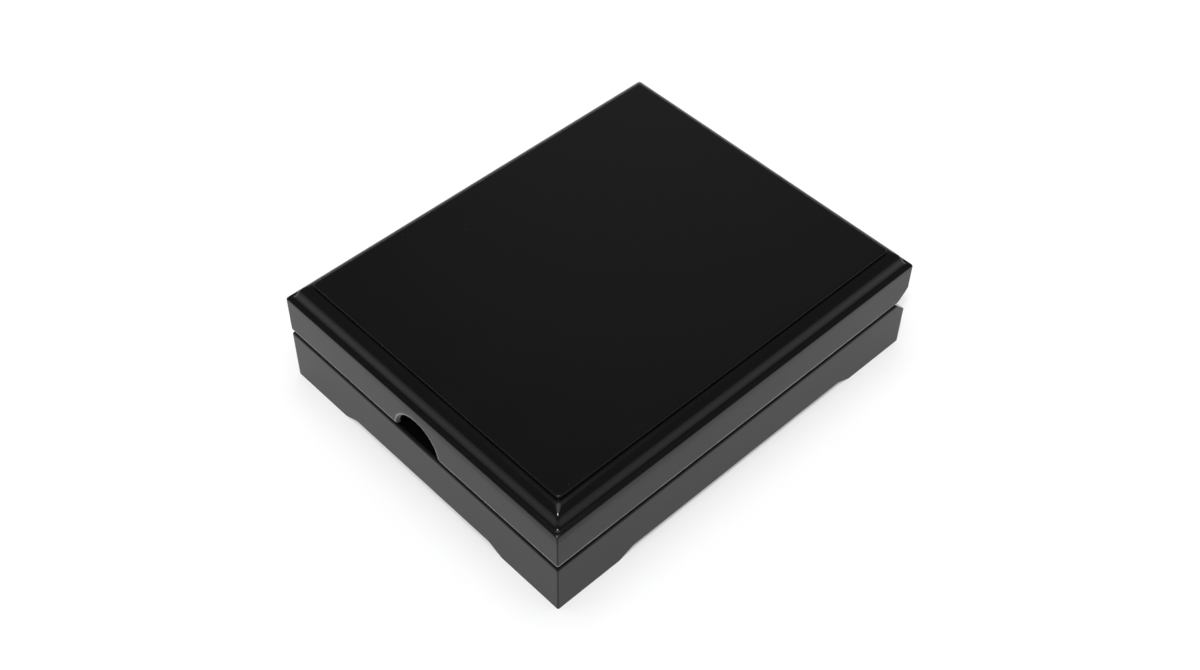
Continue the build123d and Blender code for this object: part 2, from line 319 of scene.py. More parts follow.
# %% Group: pile
pile, given, result = new_group(
    "pile",
    [("Fibre mm", number, 0.15), ("Patch mm", number, 18.0)],
    [("Height", number), ("Lean", number)],
)
place = object_place(pile)
fibres = add(pile, "ShaderNodeTexNoise",
             {"Vector": place, "Scale": math_node(pile, "DIVIDE", 1 / mm, given["Fibre mm"]), "Detail": 3.0})
patches = add(pile, "ShaderNodeTexNoise",
              {"Vector": place, "Scale": math_node(pile, "DIVIDE", 1 / mm, given["Patch mm"]),
               "Detail": 2.0, "Distortion": 0.8})
pile.links.new(fibres.outputs[0], result["Height"])
pile.links.new(remap(pile, patches.outputs[0], 0.3, 0.7), result["Lean"])
print("group:", pile.name)

# %% [markdown]
# ## Effect: weave
# Satin is woven so that long threads float on its face, which is why it shines along one direction. Two
# crossed wave patterns, the floats three times as tall as the threads that bind them, are enough at this
# scale: a thread is a fifth of a millimetre.

# %% Group: weave
weave, given, result = new_group(
    "weave", [("Thread mm", number, 0.2)], [("Height", number), ("Slub", number)])
place = object_place(weave)
threads_per_metre = math_node(weave, "DIVIDE", 1 / mm, given["Thread mm"])
thread_scale = math_node(weave, "DIVIDE", threads_per_metre, math.pi)
waves = []
for direction in ("X", "Y", "Z"):
    wave = add(weave, "ShaderNodeTexWave", {"Vector": place, "Scale": thread_scale, "Distortion": 0.6,
                                            "Detail": 1.0, "Detail Scale": 0.4}, bands_direction=direction)
    waves.append(wave.outputs["Fac"])
floats = math_node(weave, "MULTIPLY", waves[0], 0.6)
binders = math_node(weave, "MULTIPLY", waves[1], 0.2)
uprights = math_node(weave, "MULTIPLY", waves[2], 0.2)
cloth_height = math_node(weave, "ADD", floats, math_node(weave, "ADD", binders, uprights))
stretched = vector_node(weave, "MULTIPLY", place, (1.0, 0.06, 1.0))
slubs = add(weave, "ShaderNodeTexNoise", {"Vector": stretched, "Scale": 1.4 / mm, "Detail": 2.0})
weave.links.new(cloth_height, result["Height"])
weave.links.new(slubs.outputs[0], result["Slub"])
print("group:", weave.name)

# %% [markdown]
# ## Materials
# Each finish is one Principled shader. What is the same all over is written on the shader's own socket, and
# what varies comes from the groups above: they darken or lighten the colour, move the roughness a little,
# and give the bump its height.


# %% Helpers for materials
def new_material(name, **constants):
    """A material with its Principled shader; underscores in the names of the constants stand for spaces."""
    material = bpy.data.materials.new(name)
    material.use_nodes = True
    tree = material.node_tree
    shader = tree.nodes["Principled BSDF"]
    for label, value in constants.items():
        shader.inputs[label.replace("_", " ")].default_value = value
    return material, tree, shader


def blend_colours(tree, mask, first, second):
    """The first colour where the mask is 0, the second where it is 1."""
    mixed = add(tree, "ShaderNodeMix", {0: mask}, data_type="RGBA")
    for index, colour in ((6, first), (7, second)):
        if isinstance(colour, bpy.types.NodeSocket):
            tree.links.new(colour, mixed.inputs[index])
        else:
            mixed.inputs[index].default_value = (*colour, 1)
    return mixed.outputs[2]


def bump(tree, shader, height, depth_mm, strength=1.0):
    """Gives the shader a bump of this depth."""
    made = add(tree, "ShaderNodeBump", {"Height": height, "Distance": depth_mm * mm, "Strength": strength})
    tree.links.new(made.outputs[0], shader.inputs["Normal"])


def feed(tree, shader, colour, roughness):
    """Links the colour and the roughness."""
    tree.links.new(colour, shader.inputs["Base Color"])
    tree.links.new(roughness, shader.inputs["Roughness"])


print("material helpers ready")

# %% [markdown]
# ## Black lacquer
# The box is sprayed satin black: almost no light comes back from the colour itself, and what one sees is
# the room in the coat. Seen from above, the lid mirrors the dark of the room, and the walls mirror the white
# table, so the walls look grey. A dark base colour, the usual refraction of a lacquer and a low roughness
# give that by themselves. The ripple of the spray, rubbed arrises and a little dust keep it from looking
# like plastic. Each part of the box has its own copy, because the arrises lie elsewhere.

# %% Material: lacquer
lacquer_black = (0.0026, 0.0025, 0.0027)
lacquer_thin = (0.010, 0.0075, 0.006)
# Colour of the painted highlight line along the lid's rim.
rim_highlight_colour = (0.24, 0.228, 0.206)
dust_grey = (0.16, 0.155, 0.15)
notch_rise = 0.6 * mm


def lacquer(name, low, high, painted_rim_highlight=False):
    """Satin black lacquer on a piece between these two corners."""
    material, tree, shader = new_material(
        name, IOR=1.5, Specular_IOR_Level=0.175, Specular_Tint=(1.0, 0.985, 0.96, 1))
    ripple = place_group(tree, unevenness, Size_mm=0.9, Detail=3.0)
    middle = (low + high) / 2
    wear = place_group(tree, rubbed, Middle=middle, Half_size=high - middle, Width_mm=0.7)["Mask"]
    specks = place_group(tree, dust, Spacing_mm=2.6, Speck_mm=0.075, Share=0.16)["Mask"]
    wear_and_rim_highlight = blend_colours(tree, wear, lacquer_black, lacquer_thin)
    # Painted highlight: a pale line mixed into the colour along the lid's lower rim and round the notch's
    # arch.
    if painted_rim_highlight:
        arch = Vector((0, 0, low.z + notch_rise))
        rim_highlight_line = place_group(tree, rim, Half_size=high - middle, Arch_centre=arch, Seam_mm=low.z / mm)
        wear_and_rim_highlight = blend_colours(tree, rim_highlight_line["Mask"], wear_and_rim_highlight, rim_highlight_colour)
    dusty = blend_colours(tree, math_node(tree, "MULTIPLY", specks, 0.5), wear_and_rim_highlight, dust_grey)
    base_roughness = remap(tree, ripple["Variation"], 0.3, 0.7, 0.155, 0.2)
    roughness = math_node(tree, "MULTIPLY_ADD", wear, -0.04, base_roughness)
    feed(tree, shader, dusty, math_node(tree, "MULTIPLY_ADD", specks, 0.4, roughness))
    bump(tree, shader, ripple["Height"], 0.002)
    return material


base_corners = Vector((-half_width, -half_depth, 0)), Vector((half_width, half_depth, seam))
lid_corners = Vector((-half_width, -half_depth, seam)), top_high
base_lacquer = lacquer("base_lacquer", *base_corners)
# The lid's lacquer also carries the painted rim highlight.
lid_lacquer = lacquer("lid_lacquer", *lid_corners, painted_rim_highlight=True)
print("materials:", base_lacquer.name, lid_lacquer.name)

# %% [markdown]
# ## Velvet
# Black velvet is darker than paint when one looks straight into its pile and lighter at a slant, where the
# sides of the fibres catch the light. Sheen does that. The lean of the pile moves the colour in soft patches.


# %% Material: velvet and felt
def pile_cloth(name, dark, light, fibre_mm, patch_mm, depth_mm, **constants):
    """A cloth of short fibres."""
    material, tree, shader = new_material(name, **constants)
    fibres = place_group(tree, pile, Fibre_mm=fibre_mm, Patch_mm=patch_mm)
    grain = remap(tree, fibres["Height"], 0.3, 0.7)
    tone = math_node(tree, "MULTIPLY_ADD", fibres["Lean"], 0.6, math_node(tree, "MULTIPLY", grain, 0.4))
    colour = blend_colours(tree, tone, dark, light)
    feed(tree, shader, colour, remap(tree, fibres["Height"], 0.2, 0.8, 0.75, 0.95))
    bump(tree, shader, fibres["Height"], depth_mm)
    return material


velvet = pile_cloth("black_velvet", (0.007, 0.007, 0.0074), (0.0195, 0.0194, 0.02), 0.2, 16.0, 0.09,
                    Specular_IOR_Level=0.1, Sheen_Weight=0.3, Sheen_Roughness=0.35,
                    Sheen_Tint=(0.86, 0.86, 0.9, 1))
felt = pile_cloth("underside_felt", (0.008, 0.008, 0.009), (0.03, 0.03, 0.033), 0.32, 9.0, 0.12,
                  Specular_IOR_Level=0.15, Sheen_Weight=0.2, Sheen_Roughness=0.6)
print("materials:", velvet.name, felt.name)

# %% [markdown]
# ## Satin
# The lid is lined with ivory satin. Its long floats shine softly, and single thicker threads run through it.

# %% Material: satin
satin, tree, shader = new_material("ivory_satin", IOR=1.5, Specular_IOR_Level=0.45, Sheen_Weight=0.25,
                                   Sheen_Roughness=0.3, Sheen_Tint=(1.0, 0.97, 0.9, 1))
threads = place_group(tree, weave, Thread_mm=0.22)
slub_mask = remap(tree, threads["Slub"], 0.45, 0.75)
thread_tone = blend_colours(tree, threads["Height"], (0.66, 0.61, 0.52), (0.76, 0.72, 0.63))
faint_slubs = math_node(tree, "MULTIPLY", slub_mask, 0.35)
satin_colour = blend_colours(tree, faint_slubs, thread_tone, (0.82, 0.79, 0.71))
feed(tree, shader, satin_colour, remap(tree, threads["Slub"], 0.3, 0.7, 0.34, 0.46))
bump(tree, shader, threads["Height"], 0.02, 0.6)
print("material:", satin.name)

# %% [markdown]
# ## Brass
# Small butt hinges are stamped from brass sheet and tumbled bright. The leaves keep fine marks, and the
# brass is a little darker in slow, uneven patches.

# %% Material: brass
brass, tree, shader = new_material("hinge_brass", Metallic=1.0)
marks = place_group(tree, unevenness, Size_mm=0.12, Stretch=(0.08, 1.0, 1.0), Detail=4.0)
tarnish = remap(tree, marks["Variation"], 0.4, 0.75)
polish = remap(tree, marks["Height"], 0.3, 0.7)
bright = blend_colours(tree, polish, (0.70, 0.49, 0.21), (0.83, 0.62, 0.31))
feed(tree, shader, blend_colours(tree, tarnish, bright, (0.45, 0.30, 0.13)),
     remap(tree, marks["Height"], 0.25, 0.75, 0.34, 0.47))
bump(tree, shader, marks["Height"], 0.004)
print("material:", brass.name)

# %% [markdown]
# ## Card and board
# The insert is grey board under its velvet, and the lid cushion is pulled over white card. The bottom is a
# stained board. They show only at their edges, but a hand that takes the insert out sees them.


# %% Materials: card and board
def fibre_board(name, dark, light, size_mm, stretch, roughness):
    """Pressed or grown fibres, as in card and wood."""
    material, tree, shader = new_material(name, Specular_IOR_Level=0.3)
    fibres = place_group(tree, unevenness, Size_mm=size_mm, Stretch=stretch, Detail=5.0)
    colour = blend_colours(tree, remap(tree, fibres["Height"], 0.35, 0.65), dark, light)
    feed(tree, shader, colour, remap(tree, fibres["Variation"], 0.3, 0.7, roughness - 0.06, roughness + 0.06))
    bump(tree, shader, fibres["Height"], 0.02)
    return material


grey_board = fibre_board("grey_board", (0.27, 0.25, 0.22), (0.40, 0.37, 0.33), 0.35, (1, 1, 3), 0.85)
white_card = fibre_board("white_card", (0.56, 0.54, 0.50), (0.68, 0.66, 0.62), 0.25, (1, 1, 1), 0.8)
stained_board = fibre_board("stained_board", (0.008, 0.007, 0.006), (0.03, 0.024, 0.019), 0.8,
                            (1, 0.08, 1), 0.6)
print("materials:", grey_board.name, white_card.name, stained_board.name)

# %% [markdown]
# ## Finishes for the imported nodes
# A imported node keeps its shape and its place. Only its material slots change.

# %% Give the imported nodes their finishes
for name, piece in nodes.items():
    if name.startswith("base_"):
        finish = base_lacquer
    elif name.startswith("lid_") and name.endswith("_rail"):
        finish = lid_lacquer
    elif name.startswith("hinge_"):
        finish = brass
    elif name == "insert_board":
        finish = grey_board
    elif name == "lid_lining_card":
        finish = white_card
    elif name == "bottom_panel":
        finish = stained_board
    else:
        continue
    piece.data.materials.clear()
    piece.data.materials.append(finish)
    print(name, "->", finish.name)

# %% [markdown]
# ## Building blocks for meshes
# Most pieces of this box are rings laid over each other: a moulding, a cushion and a felt sheet are all
# the outline of a rounded rectangle, drawn again and again at another inset and another height. So one
# helper draws such an outline, and another joins a stack of outlines into a closed skin.

# %% Outlines and skins
corner_steps = 10


def rounded_outline(half_x, half_y, radius, height, straight_steps=1):
    """Points anticlockwise round a rectangle with rounded corners, the same number for every size."""
    arcs = []
    for side_x, side_y, start in ((1, -1, -90), (1, 1, 0), (-1, 1, 90), (-1, -1, 180)):
        middle = Vector((side_x * (half_x - radius), side_y * (half_y - radius), height))
        arc = []
        for step in range(corner_steps + 1):
            angle = math.radians(start + 90 * step / corner_steps)
            arc.append(middle + radius * Vector((math.cos(angle), math.sin(angle), 0)))
        arcs.append(arc)
    points = []
    for index, arc in enumerate(arcs):
        points += arc
        after = arcs[(index + 1) % len(arcs)][0]
        points += [arc[-1].lerp(after, step / straight_steps) for step in range(1, straight_steps)]
    return points


def skin(mesh, rings, ends="closed", creases=()):
    """Faces between rings of equal length; a ring whose number is in creases keeps a sharp edge."""
    loops = [[mesh.verts.new(point) for point in ring] for ring in rings]
    count = len(loops[0])
    pairs = list(zip(loops, loops[1:]))
    if ends == "joined":
        pairs.append((loops[-1], loops[0]))
    for lower, upper in pairs:
        for index in range(count):
            after = (index + 1) % count
            mesh.faces.new((lower[index], lower[after], upper[after], upper[index]))
    if ends == "closed":
        mesh.faces.new(list(reversed(loops[0])))
        mesh.faces.new(loops[-1])
    for number in creases:
        for index in range(count):
            mesh.edges.get((loops[number][index], loops[number][(index + 1) % count])).smooth = False


def finished_piece(name, mesh, material, body, stands_for):
    """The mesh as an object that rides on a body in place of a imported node."""
    bmesh.ops.recalc_face_normals(mesh, faces=mesh.faces)
    data = bpy.data.meshes.new(name)
    mesh.to_mesh(data)
    mesh.free()
    data.polygons.foreach_set("use_smooth", [True] * len(data.polygons))
    data.materials.append(material)
    piece = bpy.data.objects.new(name, data)
    bpy.context.scene.collection.objects.link(piece)
    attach(piece, body)
    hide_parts(stands_for)
    print(name, len(data.vertices), "points,", len(data.polygons), "faces")
    return piece


# %% [markdown]
# ## The moulded lid
# The lid's top is one board with a moulding worked on all four edges: from the outside, an apron, a narrow
# ledge, a hollow, a broad round and a small step up to the flat. A cutter leaves sharp mitre lines at the
# corners, and sandpaper then takes them off before the lacquer goes on. Those sanded corners catch the
# lamps as a row of bright points, so here every ring of the moulding has a small corner radius of its own.

# %% Profile of the moulding
apron = 3.0 * mm
ledge = 0.8 * mm
hollow_width = 1.3 * mm
hollow_height = 1.7 * mm
round_width = 3.4 * mm
round_height = 2.6 * mm
arris = 0.45 * mm
outer_corner = 0.4 * mm
sanded_corner = 0.9 * mm
hollow_turn = math.radians(57)
round_start = math.radians(15)
curve_steps = 12


def round_curve(start, size, first_angle=0.0):
    """Points on a convex arc from start, inwards and upwards, which ends level."""
    points = []
    for step in range(1, curve_steps + 1):
        angle = first_angle + (math.pi / 2 - first_angle) * step / curve_steps
        across = 1 - math.cos(angle) / math.cos(first_angle)
        upward = (math.sin(angle) - math.sin(first_angle)) / (1 - math.sin(first_angle))
        points.append(Vector((start.x + size[0] * across, start.y + size[1] * upward)))
    return points


def hollow_curve(start, size, last_angle):
    """Points on a concave arc from start, inwards and upwards, which starts level."""
    points = []
    for step in range(1, curve_steps + 1):
        angle = last_angle * step / curve_steps
        across = math.sin(angle) / math.sin(last_angle)
        upward = (1 - math.cos(angle)) / (1 - math.cos(last_angle))
        points.append(Vector((start.x + size[0] * across, start.y + size[1] * upward)))
    return points


def lid_profile():
    """Inset and height of each ring from the foot of the apron to the flat, and which rings are sharp."""
    foot = top_low.z
    shoulder = foot + apron
    profile = [Vector((0, foot)), Vector((0, shoulder - arris))]
    profile += round_curve(Vector((0, shoulder - arris)), (arris, arris))
    profile.append(Vector((ledge, shoulder)))
    profile += hollow_curve(Vector((ledge, shoulder)), (hollow_width, hollow_height), hollow_turn)
    profile += round_curve(profile[-1], (round_width, round_height), round_start)
    sharp = [0, len(profile) - 1]
    inset = profile[-1].x
    profile.append(Vector((inset, top_high.z - arris)))
    profile += round_curve(profile[-1], (arris, arris))
    return profile, sharp


profile, sharp_rings = lid_profile()
print("moulding rings:", len(profile), "width mm:", round(profile[-1].x / mm, 2))

# %% Build the lid's top board
apron_top = top_low.z + apron - arris
lid_mesh = bmesh.new()
lid_rings = []
for inset, height in profile:
    sanded = min(max((height - apron_top) / arris, 0), 1)
    corner = outer_corner + (sanded_corner - outer_corner) * sanded
    lid_rings.append(rounded_outline(half_width - inset, half_depth - inset, corner, height))
skin(lid_mesh, lid_rings, creases=sharp_rings)
finished_piece("moulded_lid", lid_mesh, lid_lacquer, "lid", "lid_top_board")

# %% [markdown]
# ## The velvet insert
# Inside the base lies a board with a window for the coin holder, and a notch on either long side for the
# fingers that lift it out. Velvet is glued over the board, round its edges and down into the window. Its
# outline has curves that a rounded rectangle hasn't, so it is drawn from arcs and lines for one quarter and
# mirrored.

# %% Outline of the window
finger_radius = 9.0 * mm
border = 13.5 * mm
insert_play = 0.3 * mm
velvet_thickness = 0.7 * mm
velvet_round = 1.0 * mm
notch_fold = 1.3 * mm
window_corner = 0.8 * mm
outer_fold = 1.6 * mm
window_x = velvet_high.x + insert_play - border
window_y = velvet_high.y + insert_play - border
section_points = {"notch": 18, "fold": 6, "side": 46, "corner": 6, "end": 42}


def arc_points(middle, radius, start, end, count):
    """Points on an arc, without its last one."""
    angles = [start + (end - start) * step / count for step in range(count)]
    return [middle + radius * Vector((math.cos(angle), math.sin(angle))) for angle in angles]


def straight_points(start, end, count):
    """Points on a straight line, without its last one."""
    return [start.lerp(end, step / count) for step in range(count)]


def window_quarter(grow):
    """From the outermost point of a finger notch round to the middle of the window's short side."""
    notch = finger_radius + grow
    fold = notch_fold - grow
    side = window_x + grow
    end = window_y + grow
    corner = window_corner + grow
    fold_y = math.sqrt((notch + fold) ** 2 - notch_fold ** 2)
    turn = math.atan2(fold_y, notch_fold)
    points = arc_points(Vector((window_x, 0)), notch, 0, turn, section_points["notch"])
    fold_middle = Vector((side + fold, fold_y))
    points += arc_points(fold_middle, fold, turn - math.pi, -math.pi, section_points["fold"])
    points += straight_points(Vector((side, fold_y)), Vector((side, end - corner)), section_points["side"])
    middle = Vector((side - corner, end - corner))
    points += arc_points(middle, corner, 0, math.pi / 2, section_points["corner"])
    points += straight_points(Vector((side - corner, end)), Vector((0, end)), section_points["end"])
    return points


def window_outline(grow):
    """The whole window, anticlockwise from the right finger notch."""
    quarter = window_quarter(grow)
    end = window_y + grow
    left = [Vector((-p.x, p.y)) for p in reversed(quarter)]
    lower_left = [Vector((-p.x, -p.y)) for p in quarter[1:]]
    right = [Vector((p.x, -p.y)) for p in reversed(quarter[1:])]
    return quarter + [Vector((0, end))] + left + lower_left + [Vector((0, -end))] + right


window_directions = [point.normalized() for point in window_outline(velvet_round)]
print("window mm:", round(2 * window_x / mm, 1), round(2 * window_y / mm, 1))

# %% [markdown]
# The cover has to join this window to the plain rectangle outside. Seen from the middle of the box, each
# point of the window has one point of the rectangle behind it, so both outlines can have equally many
# points, and the rings between them are only steps from one to the other.

# %% Build the velvet cover
flat_steps = 12
fold_steps = 6
nap_height = 0.07 * mm
nap_patch = 7 * mm


def outer_outline(inset):
    """The outer rectangle, with one point behind each point of the window."""
    half = Vector((velvet_high.x - inset, velvet_high.y - inset))
    radius = outer_fold - inset
    centre = half - Vector((radius, radius))
    points = []
    for direction in window_directions:
        ahead = Vector((abs(direction.x), abs(direction.y)))
        reach = min(half.x / max(ahead.x, 1e-9), half.y / max(ahead.y, 1e-9))
        hit = ahead * reach
        if hit.x > centre.x and hit.y > centre.y:
            along = ahead.dot(centre)
            reach = along + math.sqrt(along * along - centre.length_squared + radius * radius)
        points.append(direction * reach)
    return points


def lift(outline, height):
    """An outline in the plane, set at a height."""
    return [Vector((point.x, point.y, height)) for point in outline]


def velvet_rings():
    """From the foot of the cover's outside over the top and down the window, then back inside it."""
    foot = velvet_low.z
    top = velvet_high.z - nap_height
    shoulder = top - velvet_round
    rings = [lift(outer_outline(0), height) for height in (foot, (foot + shoulder) / 2)]
    for step in range(fold_steps + 1):
        angle = math.pi / 2 * step / fold_steps
        inset = velvet_round * (1 - math.cos(angle))
        rings.append(lift(outer_outline(inset), shoulder + velvet_round * math.sin(angle)))
    outside = rings[-1]
    inside = lift(window_outline(velvet_round), top)
    for step in range(1, flat_steps):
        share = step / flat_steps
        ring = [a.lerp(b, share) for a, b in zip(outside, inside)]
        for point in ring:
            ripple = noise.noise(point / nap_patch)
            point.z += nap_height * ripple * math.sin(math.pi * share)
        rings.append(ring)
    for step in range(fold_steps + 1):
        angle = math.pi / 2 * step / fold_steps
        grow = velvet_round * (1 - math.sin(angle))
        rings.append(lift(window_outline(grow), shoulder + velvet_round * math.cos(angle)))
    rings += [lift(window_outline(0), height) for height in ((foot + shoulder) / 2, foot)]
    under = top - velvet_thickness
    rings += [lift(window_outline(velvet_thickness), height) for height in (foot, under)]
    rings += [lift(outer_outline(velvet_thickness), height) for height in (under, foot)]
    return rings


velvet_mesh = bmesh.new()
skin(velvet_mesh, velvet_rings(), ends="joined")
finished_piece("velvet_cover", velvet_mesh, velvet, "base", "insert_velvet")

# %% [markdown]
# ## The pad in the recess
# The coin holder lies on a thin pad with the same velvet. It is flat where the insert presses on it and
# swells a little inside the window.

# %% Build the recess pad
pad_swell = 0.35 * mm
pad_edge = 0.5 * mm
swell_width = 10 * mm
pad_insets_mm = (6, 12, 13.5, 15, 17, 19.5, 23, 28, 34, 40)
pad_parts = 40


def pad_rings():
    """From the foot of the pad up its rounded side and in over its swell."""
    rings = [rounded_outline(pad_high.x, pad_high.y, outer_fold, pad_low.z, pad_parts)]
    for step in range(fold_steps + 1):
        angle = math.pi / 2 * step / fold_steps
        inset = pad_edge * (1 - math.cos(angle))
        height = pad_high.z - pad_edge + pad_edge * math.sin(angle)
        corner = outer_fold - inset
        rings.append(rounded_outline(pad_high.x - inset, pad_high.y - inset, corner, height, pad_parts))
    for inset_mm in pad_insets_mm:
        inset = inset_mm * mm
        share = min(max((inset - border) / swell_width, 0), 1)
        height = pad_high.z + pad_swell * math.sin(share * math.pi / 2)
        rings.append(rounded_outline(pad_high.x - inset, pad_high.y - inset, outer_fold, height, pad_parts))
    return rings


pad_mesh = bmesh.new()
skin(pad_mesh, pad_rings())
recess_pad = finished_piece("recess_pad", pad_mesh, velvet, "base", "floor_pad")

# %% [markdown]
# ## The satin cushion in the lid
# Wadding lies on a card, satin is pulled over both and glued behind the card. Cloth pulled round an edge is
# longest in the middle and gathers at its rim. Blender's cloth solver does this well: the cushion starts as
# a slightly smaller slab, its back is pinned to the card, and a little pressure from inside blows the face
# up until the threads hold it. A cloth of a few centimetres is small for the solver's tolerances, so it is
# blown up at ten times its size and brought back afterwards.

# %% Shape the cushion's blank
cushion_corner = 4.0 * mm
blank_shrink = 0.9 * mm
blank_edge = 1.3 * mm
blank_depth = 3.2 * mm
blank_rings = 14
back_insets_mm = (30, 20, 10, 4)
straight_parts = 24


def cushion_blank():
    """A slab with rounded sides, hanging under the card."""
    half_x = cushion_high.x - blank_shrink
    half_y = cushion_high.y - blank_shrink
    back = cushion_high.z
    face = back - blank_depth
    rings = []
    for inset_mm in back_insets_mm:
        inset = inset_mm * mm
        rings.append(rounded_outline(half_x - inset, half_y - inset, cushion_corner, back, straight_parts))
    for step in range(fold_steps + 1):
        angle = math.pi * step / fold_steps
        inset = blank_edge * (1 - math.sin(angle))
        height = (back + face) / 2 + blank_depth / 2 * math.cos(angle)
        rings.append(rounded_outline(half_x - inset, half_y - inset, cushion_corner, height, straight_parts))
    for step in range(1, blank_rings):
        inset = blank_edge + (half_x - 2 * cushion_corner) * step / blank_rings
        rings.append(rounded_outline(half_x - inset, half_y - inset, cushion_corner, face, straight_parts))
    return rings


cushion_mesh = bmesh.new()
skin(cushion_mesh, cushion_blank())
lid_cushion = finished_piece("satin_cushion", cushion_mesh, satin, "lid", "lid_cushion")

# %% Blow the cushion up
solver_scale = 10
voxel = 1.7 * mm
pressure = 4
last_frame = 20
movement_cap = 2.4 * mm
pinned_depth = 0.5 * mm
thread_stiffness = 30
bending_stiffness = 0.3


def simulate(piece):
    """Remeshes the piece evenly, inflates it as cloth with its back pinned, and applies the result."""
    bpy.context.view_layer.objects.active = piece
    piece.select_set(True)
    piece.data.remesh_voxel_size = voxel
    bpy.ops.object.voxel_remesh()
    piece.data.transform(Matrix.Scale(solver_scale, 4))
    start = [point.co.copy() for point in piece.data.vertices]
    pinned = piece.vertex_groups.new(name="glued_back")
    back = (cushion_high.z - pinned_depth) * solver_scale
    pinned.add([i for i, place in enumerate(start) if place.z > back], 1.0, "REPLACE")
    cloth = piece.modifiers.new("satin", "CLOTH")
    cloth.settings.vertex_group_mass = pinned.name
    cloth.settings.use_pressure = True
    cloth.settings.uniform_pressure_force = pressure
    cloth.settings.effector_weights.gravity = 0
    cloth.settings.tension_stiffness = thread_stiffness
    cloth.settings.compression_stiffness = thread_stiffness
    cloth.settings.bending_stiffness = bending_stiffness
    cloth.collision_settings.use_self_collision = False
    scene = bpy.context.scene
    for step in range(1, last_frame + 1):
        scene.frame_set(step)
    moved = piece.evaluated_get(bpy.context.evaluated_depsgraph_get()).data
    places = [point.co.copy() for point in moved.vertices]
    piece.modifiers.remove(cloth)
    furthest = 0
    for point, before, after in zip(piece.data.vertices, start, places):
        step = (after - before) / solver_scale
        furthest = max(furthest, step.length)
        if step.length > movement_cap:
            step *= movement_cap / step.length
        point.co = before / solver_scale + step
    scene.frame_set(1)
    return furthest


print("cushion moved at most mm:", round(simulate(lid_cushion) / mm, 2))

# %% [markdown]
# Pulled satin is never smooth at its rim. Small gathers run in from the edge and die out within a
# centimetre, closer together at the corners, where more cloth has to go round. They are laid over the blown
# shape as a height that depends on the place along the rim and fades with the distance from it. A point
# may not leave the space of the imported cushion.

# %% Gather the rim
gather_depth = 0.42 * mm
gather_reach = 7 * mm
gather_width = 2.6 * mm
gather_length = 9 * mm
side_shift = 3.7
face_swell = 1.5 * mm


def gathers(piece):
    """Presses gathers into the rim and raises the middle into a gentle crown."""
    half_x = cushion_high.x
    half_y = cushion_high.y
    for point in piece.data.vertices:
        place = point.co
        from_rim = min(half_x - abs(place.x), half_y - abs(place.y))
        along = place.y if half_x - abs(place.x) < half_y - abs(place.y) else place.x
        side = 1 if place.x + place.y > 0 else -1
        wave = noise.noise(Vector((along / gather_width, side * side_shift, from_rim / gather_length)))
        fade = math.exp(-max(from_rim, 0) / gather_reach)
        hanging = min(max((cushion_high.z - place.z) / blank_depth, 0), 1)
        shape_x = max(1 - (place.x / half_x) ** 2, 0)
        shape_y = max(1 - (place.y / half_y) ** 2, 0)
        place.z -= hanging * (face_swell * math.sqrt(shape_x * shape_y) + gather_depth * wave * fade)
        place.z = max(place.z, cushion_low.z)


gathers(lid_cushion)
smooth = lid_cushion.modifiers.new("smooth", "SUBSURF")
smooth.levels = smooth.render_levels = 1
lid_cushion.data.polygons.foreach_set("use_smooth", [True] * len(lid_cushion.data.polygons))
print("cushion points:", len(lid_cushion.data.vertices), "lowest mm:",
      round(min(point.co.z for point in lid_cushion.data.vertices) / mm, 2))

# %% [markdown]
# ## Strips along the inside of the lid
# The lid's walls are lined with strips of card in the same satin. Each is a long bar with rolled edges. The
# cloth isn't pulled perfectly flat over it, so its face wanders by a few hundredths of a millimetre.

# %% Build the lining strips
strip_thickness = 1.0 * mm
strip_roll = 0.42 * mm
strip_step = 2.0 * mm
strip_wander = 0.05 * mm
end_round = 0.6 * mm


def lining_strip(mesh, middle, along, across, length):
    """One strip: a rounded section drawn again and again along its length."""
    tall = lining_high.z - lining_low.z
    section = rounded_outline(strip_thickness / 2, tall / 2, strip_roll, 0, 6)
    count = round(length / strip_step)
    rings = []
    for step in range(count + 1):
        share = step / count
        from_end = min(share, 1 - share) * length
        shrink = 1 - 0.25 * max(1 - from_end / end_round, 0) ** 2
        centre = middle + along * (share - 0.5) * length
        ring = []
        for point in section:
            wander = strip_wander * noise.noise(centre / (9 * mm) + Vector((0, 0, point.y / (4 * mm))))
            side = point.x * shrink
            inward = side - abs(wander) * (1 if side > 0 else -1)
            ring.append(centre + across * inward + Vector((0, 0, point.y * (0.9 + 0.1 * shrink))))
        rings.append(ring)
    skin(mesh, rings)


strip_mesh = bmesh.new()
strip_middle = (lining_low.z + lining_high.z) / 2
rightwards = Vector((1, 0, 0))
backwards = Vector((0, 1, 0))
for sign in (-1, 1):
    long_middle = Vector((sign * (lining_high.x - strip_thickness / 2), 0, strip_middle))
    lining_strip(strip_mesh, long_middle, backwards, rightwards, 2 * (lining_high.y - strip_thickness))
    short_middle = Vector((0, sign * (lining_high.y - strip_thickness / 2), strip_middle))
    lining_strip(strip_mesh, short_middle, rightwards, backwards, 2 * lining_high.x)
finished_piece("satin_strips", strip_mesh, satin, "lid", "lid_side_linings")

# %% [markdown]
# ## The felt underneath
# A sheet of pressed felt is glued under the bottom. It is cut with a knife along a rule, so its edge is
# nearly straight but soft.

# %% Build the felt
felt_edge = 0.18 * mm
felt_corner = 0.8 * mm
felt_parts = 70


def felt_ring(inset, height, rough):
    """An outline of the felt whose points stray inwards a little."""
    ring = rounded_outline(felt_high.x - inset, felt_high.y - inset, felt_corner, height, felt_parts)
    for point in ring:
        stray = rough * abs(noise.noise(point / (1.3 * mm)))
        point.x -= math.copysign(stray, point.x)
        point.y -= math.copysign(stray, point.y)
    return ring


felt_middle = (felt_low.z + felt_high.z) / 2
felt_rings = [
    felt_ring(felt_edge, felt_high.z, felt_edge),
    felt_ring(0, felt_middle, felt_edge),
    felt_ring(felt_edge, felt_low.z, felt_edge),
]
felt_mesh = bmesh.new()
skin(felt_mesh, felt_rings)
finished_piece("felt_sheet", felt_mesh, felt, "base", "underside_felt")

